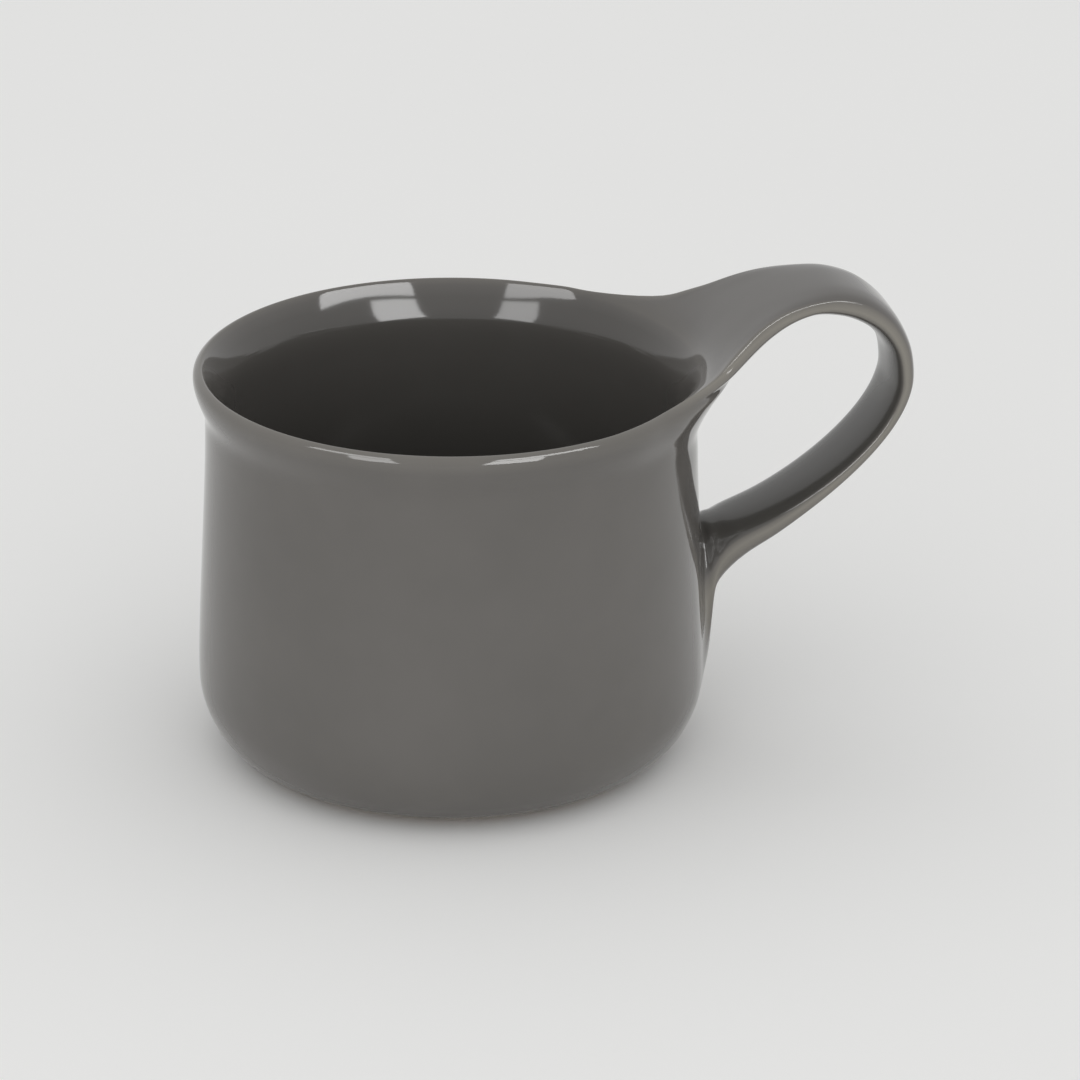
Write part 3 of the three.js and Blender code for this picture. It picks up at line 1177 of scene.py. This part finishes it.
            # The loop's inner face is darkened with painted shade, fading in from both ends of the
            # strap.
            loop_shade = self.loop_painted_shade * (1 - math.exp(-from_end / self.loop_shade_ramp))
            thin = self.edge_thinness * edges - loop_shade * loop_side
            ring = [self.cage.add(p, float(t)) for p, t in zip(points, thin)]
            self.cage.bridge(before, ring)
            before = ring
        self.cage.bridge(before, self.opening(Root.LOWER))


class TurningTree:
    """Geometry nodes that turn a side-view line about the cup's axis into a closed piece."""

    CREASE = 35.0
    MERGE_DISTANCE = 2e-6

    def __init__(self) -> None:
        """Builds the tree."""
        self.tree = bpy.data.node_groups.new("turned_piece", "GeometryNodeTree")
        self._socket("Line", "Geometry")
        self.turns = self._socket("Turns", "Int")
        self.axis = self._socket("Axis", "Vector")
        self.finish = self._socket("Finish", "Material")
        self._socket("Piece", "Geometry", "OUTPUT")
        self._fill(NodeSheet(self.tree))

    def _socket(self, name: str, kind: str, way: str = "INPUT") -> str:
        """Adds a named socket to the tree and gives its identifier."""
        face = self.tree.interface
        return face.new_socket(name, in_out=way, socket_type="NodeSocket" + kind).identifier

    def _fill(self, sheet: NodeSheet) -> None:
        """Adds the nodes.

        Args:
            sheet: The sheet to write on.
        """
        inputs = sheet.node("NodeGroupInput", {}, {})
        line, axis, finish = (inputs.outputs[name] for name in ("Line", "Axis", "Finish"))
        turns = sheet.value(inputs, "Turns")
        size = sheet.node("GeometryNodeAttributeDomainSize", {"component": "MESH"}, {0: line})
        steps = sheet.value(size, "Point Count")
        sockets = {"Vertices X": turns + 1.0, "Vertices Y": steps}
        grid = sheet.node("GeometryNodeMeshGrid", {}, sockets).outputs[0]
        index = sheet.value(sheet.node("GeometryNodeInputIndex", {}, {}))
        column = ((index + 0.5) / steps).rounded_down()
        row = index - column * steps
        place = sheet.node("GeometryNodeInputPosition", {}, {}).outputs[0]
        settings = {"data_type": "FLOAT_VECTOR", "domain": "POINT"}
        sockets = {"Geometry": line, "Value": place, "Index": row}
        sampled = sheet.node("GeometryNodeSampleIndex", settings, sockets).outputs[0]
        angle = column * (2 * math.pi) / turns
        settings = {"rotation_type": "Z_AXIS"}
        sockets = {"Vector": sampled, "Center": axis, "Angle": angle}
        swung = sheet.node("ShaderNodeVectorRotate", settings, sockets).outputs[0]
        sockets = {"Geometry": grid, "Position": swung}
        moved = sheet.node("GeometryNodeSetPosition", {}, sockets).outputs[0]
        sockets = {"Geometry": moved, "Distance": self.MERGE_DISTANCE}
        merged = sheet.node("GeometryNodeMergeByDistance", {}, sockets).outputs[0]
        real = sheet.node("GeometryNodeRealizeInstances", {}, {0: merged}).outputs[0]
        sockets = {"Geometry": real, "Material": finish}
        dressed = sheet.node("GeometryNodeSetMaterial", {}, sockets).outputs[0]
        sheet.node("NodeGroupOutput", {}, {0: dressed})

    def turned(
        self, name: str, line: Line, turns: int, finish: bpy.types.Material
    ) -> bpy.types.Object:
        """A piece turned from a line.

        Args:
            name: The piece's name.
            line: Its outline in the side view, in mm, from axis to axis.
            turns: How many facets go round.
            finish: Its material.

        Returns:
            The finished object.
        """
        points = np.stack([line[:, 0], np.zeros(len(line)), line[:, 1]], axis=1)
        obj = mesh_object(name + "_line", points, [])
        nodes = obj.modifiers.new("turned", "NODES")
        nodes.node_group = self.tree
        nodes[self.turns] = turns
        nodes[self.axis] = (AXIS_X, 0.0, 0.0)
        nodes[self.finish] = finish
        return finished_mesh(obj, name, self.CREASE)


@dataclass
class ClayCup:
    """The turned clay cup, which shows at its foot ring."""

    cup: CupShape
    turns: int = 96

    def build(self, tree: TurningTree, finish: bpy.types.Material) -> bpy.types.Object:
        """The finished cup."""
        return tree.turned("clay_cup", self.cup.clay_outline(), self.turns, finish)


@dataclass
class FootWellGlaze:
    """The coat in the well inside the foot ring, with a rounded edge."""

    cup: CupShape
    thickness: float = 0.35
    gap: float = 0.05
    edge_points: int = 7
    turns: int = 96

    def build(self, tree: TurningTree, finish: bpy.types.Material) -> bpy.types.Object:
        """Builds the coat.

        Args:
            tree: What turns it.
            finish: Its material.

        Returns:
            The finished object.
        """
        cup = self.cup
        edge = cup.foot_radius - cup.foot_width - cup.foot_chamfer - 2 * self.thickness
        high = cup.well_depth - self.gap
        low = high - self.thickness
        angles = np.linspace(-90, 0, self.edge_points)
        rim = arc((edge, high), (self.thickness, self.thickness), angles)
        line = np.concatenate([[(0.0, low)], rim, [(0.0, high)]])
        return tree.turned("foot_well_glaze_coat", line, self.turns, finish)


@dataclass
class ClayStrap(Dressed):
    """The clay strap under the glaze, luted into the wall at both ends."""

    strap: StrapShape
    inset: float = 0.25
    side_points: int = 13
    root_depth: float = 2.0
    lip_half: float = 0.5
    crease: float = 60.0

    def build(self) -> bpy.types.Object:
        """Builds the strap.

        Returns:
            The finished object.
        """
        columns = np.cos(np.pi * np.arange(1, self.side_points + 1) / (self.side_points + 1))
        rings = self.strap.rings(columns, -self.inset)
        back = np.array([self.root_depth, 0.0, 0.0])
        rings = [self._lip_ring(rings[0]), *rings, rings[-1] - back]
        count = len(rings[0])
        points = np.concatenate(rings)
        faces: list[tuple[int, ...]] = [tuple(reversed(range(count)))]
        for start in range(0, len(points) - count, count):
            for k in range(count):
                after = (k + 1) % count
                faces.append((start + k, start + after, start + count + after, start + count + k))
        faces.append(tuple(range(len(points) - count, len(points))))
        net = mesh_object("clay_strap_net", points, faces)
        return finished_mesh(net, "clay_strap", self.crease)

    def _lip_ring(self, ring: np.ndarray) -> np.ndarray:
        """The ring inside the cup's lip from which the strap rises.

        Args:
            ring: The strap's first ring.

        Returns:
            As many points, above and below alike.
        """
        cup = self.strap.cup
        turn = np.arcsin(np.clip(ring[:, 1] / cup.crest_radius, -1, 1))
        top = np.arange(len(ring)) < self.side_points
        radius = cup.crest_radius + np.where(top, -self.lip_half, self.lip_half)
        height = np.full(len(ring), cup.lip_height - cup.lip_radius)
        return np.stack([radius * np.cos(turn), radius * np.sin(turn), height], axis=1)


@dataclass
class Mug:
    """The whole mug."""

    cup: CupShape = field(default_factory=CupShape)
    glaze: GlazeFinish = field(default_factory=GlazeFinish)
    clay: ClayFinish = ClayFinish("stoneware", (0.40, 0.33, 0.26, 1.0), (0.31, 0.25, 0.20, 1.0))

    def build(self) -> None:
        """Builds, dresses and declares every piece."""
        strap_shape = StrapShape(self.cup)
        glaze, clay = self.glaze.material(), self.clay.material()
        tree = TurningTree()
        declare(ClayCup(self.cup).build(tree, clay), "stoneware", "cup_body")
        clay_strap = ClayStrap(strap_shape)
        strap = clay_strap.build()
        clay_strap.dress(strap, clay)
        declare(strap, "stoneware", "handle", "upper_slip_joint", "lower_slip_joint")
        glaze_coat = GlazeCoat(self.cup, strap_shape)
        coat = glaze_coat.build()
        glaze_coat.dress(coat, glaze)
        declare(coat, "grey_glaze", "liner_glaze", "outer_glaze", "handle_glaze")
        declare(FootWellGlaze(self.cup).build(tree, glaze), "grey_glaze", "foot_well_glaze")


class Side(Enum):
    """Which side of the camera a window light stands on."""

    LEFT = -1
    RIGHT = 1


def add_lamp(
    name: str, size: tuple[float, float], radiance: float, place: Vector, facing: Quaternion
) -> bpy.types.Object:
    """Adds a soft rectangular lamp.

    Args:
        name: The lamp's name.
        size: Its width and height, in metres.
        radiance: How bright its face is.
        place: Its middle, in metres about the mug.
        facing: How it is turned.

    Returns:
        The lamp.
    """
    lamp = bpy.data.lights.new(name, "AREA")
    lamp.shape = "RECTANGLE"
    lamp.size, lamp.size_y = size
    lamp.energy = WATTS_PER_RADIANCE * radiance * size[0] * size[1]
    obj = linked(name, lamp)
    obj.rotation_mode = "QUATERNION"
    obj.rotation_quaternion = facing
    obj.location = place + Vector((AXIS_X, 0.0, 0.0))
    return obj


@dataclass
class WindowLight:
    """A window of a short pane, a bar and a long pane above it, in metres about the mug."""

    side: Side
    inner: tuple[float, float]
    outer: tuple[float, float]
    lower_share: float
    radiance: float
    low: float = 0.25
    bar: float = 1.0
    high: float = 1.75
    bar_width: float = 0.066
    lean: float = 12.0

    def build(self, camera_turn: float) -> None:
        """Adds the panes, which give a reflection but no other light.

        Args:
            camera_turn: The camera's angle round the mug, in radians.
        """
        spin = Matrix.Rotation(camera_turn, 3, "Z")
        upright = Vector((0, 0, 1))
        start = spin @ Vector((self.side.value * self.inner[0], self.inner[1], 0.0))
        whole = spin @ Vector((self.side.value * self.outer[0], self.outer[1], 0.0)) - start
        across = whole.normalized()
        out = across.cross(upright)
        if out.dot(start) > 0:
            out = -out
        tilt = math.radians(self.lean)
        along = across * math.cos(tilt) - upright * math.sin(tilt)
        up = upright * math.cos(tilt) + across * math.sin(tilt)
        facing = Matrix((out.cross(up), up, -out)).transposed().to_quaternion()
        corner = start + upright * self.bar
        half = self.bar_width / 2
        panes = (
            ("lower", self.lower_share, self.low - self.bar, -half),
            ("upper", 1.0, half, self.high - self.bar),
        )
        for name, share, low, high in panes:
            width = whole.length * share
            place = corner + along * width / 2 + up * (low + high) / 2
            name = f"window_{self.side.name.lower()}_{name}"
            pane = add_lamp(name, (width, high - low), self.radiance, place, facing)
            pane.visible_diffuse = False


@dataclass
class FrontLight:
    """A wide soft light before the mug that gives no reflection, in metres about the mug."""

    width: float = 1.6
    tall: float = 1.0
    distance: float = 1.2
    height: float = 0.35
    radiance: float = 0.46

    def build(self, camera_turn: float) -> None:
        """Adds the lamp.

        Args:
            camera_turn: The camera's angle round the mug, in radians.
        """
        away = Matrix.Rotation(camera_turn, 3, "Z") @ Vector((0.0, -self.distance, self.height))
        facing = (-away).to_track_quat("-Z", "Y")
        lamp = add_lamp("front_light", (self.width, self.tall), self.radiance, away, facing)
        lamp.visible_glossy = False


@dataclass
class Studio:
    """The pale floor, the soft light and the camera, whose focal length and aim are in pixels."""

    camera_azimuth: float = -9.5
    camera_elevation: float = 22.927
    camera_distance: float = 0.9
    look_height: float = 0.037
    image: float = 1080.0
    focal: float = 4981.96
    off_right: float = 88.44
    off_up: float = 7.62
    sensor: float = 36.0
    clip: tuple[float, float] = (0.01, 50.0)
    floor_size: float = 12.0
    ambient: float = 0.80
    glossy: float = 0.72

    def build(self) -> None:
        """Builds the stage."""
        self._floor()
        self._world()
        self._camera()
        turn = math.radians(self.camera_azimuth)
        lights = (
            WindowLight(Side.RIGHT, (0.36, -0.98), (1.12, -0.33), lower_share=0.46, radiance=5.6),
            WindowLight(Side.LEFT, (0.53, -0.95), (1.12, -0.36), lower_share=0.48, radiance=3.8),
            FrontLight(),
        )
        for light in lights:
            light.build(turn)

    def _floor(self) -> None:
        """A wide sheet under the mug."""
        half = self.floor_size / 2
        corners = [(x * half, y * half, 0.0) for x, y in ((-1, -1), (1, -1), (1, 1), (-1, 1))]
        mesh = bpy.data.meshes.new("floor")
        mesh.from_pydata(corners, [], [(0, 1, 2, 3)])
        mesh.materials.append(FloorFinish().material())
        floor = linked("floor", mesh)

    def _world(self) -> None:
        """Soft light from all round, and white behind."""
        world = bpy.data.worlds.new("studio")
        world.use_nodes = True
        sheet = NodeSheet(world.node_tree)
        rays = sheet.node("ShaderNodeLightPath", {}, {})
        camera = sheet.value(rays, "Is Camera Ray")
        glossy = sheet.value(rays, "Is Glossy Ray")
        strength = self.ambient + camera * (1 - self.ambient)
        strength = strength + glossy * (self.glossy - self.ambient)
        sky = sheet.node("ShaderNodeBackground", {}, {"Color": (1, 1, 1, 1), "Strength": strength})
        sheet.node("ShaderNodeOutputWorld", {}, {"Surface": sky.outputs[0]})
        bpy.context.scene.world = world

    def _camera(self) -> None:
        """The photograph's viewpoint."""
        turn, tilt = math.radians(self.camera_azimuth), math.radians(self.camera_elevation)
        flat = math.cos(tilt)
        back = Vector((math.sin(turn) * flat, -math.cos(turn) * flat, math.sin(tilt)))
        right = Vector((math.cos(turn), math.sin(turn), 0.0))
        up = back.cross(right)
        ahead = -back + (right * self.off_right + up * self.off_up) / self.focal
        ahead.normalize()
        right = (right - ahead * right.dot(ahead)).normalized()
        up = right.cross(ahead)
        data = bpy.data.cameras.new("camera")
        data.sensor_width = self.sensor
        data.lens = self.focal / self.image * self.sensor
        data.clip_start, data.clip_end = self.clip
        camera = linked("camera", data)
        place = Vector((AXIS_X, 0.0, self.look_height)) + back * self.camera_distance
        rotation = Matrix((right, up, -ahead)).transposed().to_4x4()
        camera.matrix_world = Matrix.Translation(place) @ rotation
        bpy.context.scene.camera = camera


def main() -> None:
    """Builds the mug, then the studio."""
    logging.basicConfig(level=logging.INFO, format="%(name)s: %(message)s")
    bpy.context.scene.view_settings.view_transform = "Standard"
    Mug().build()
    Studio().build()


if __name__ == "__main__":
    main()
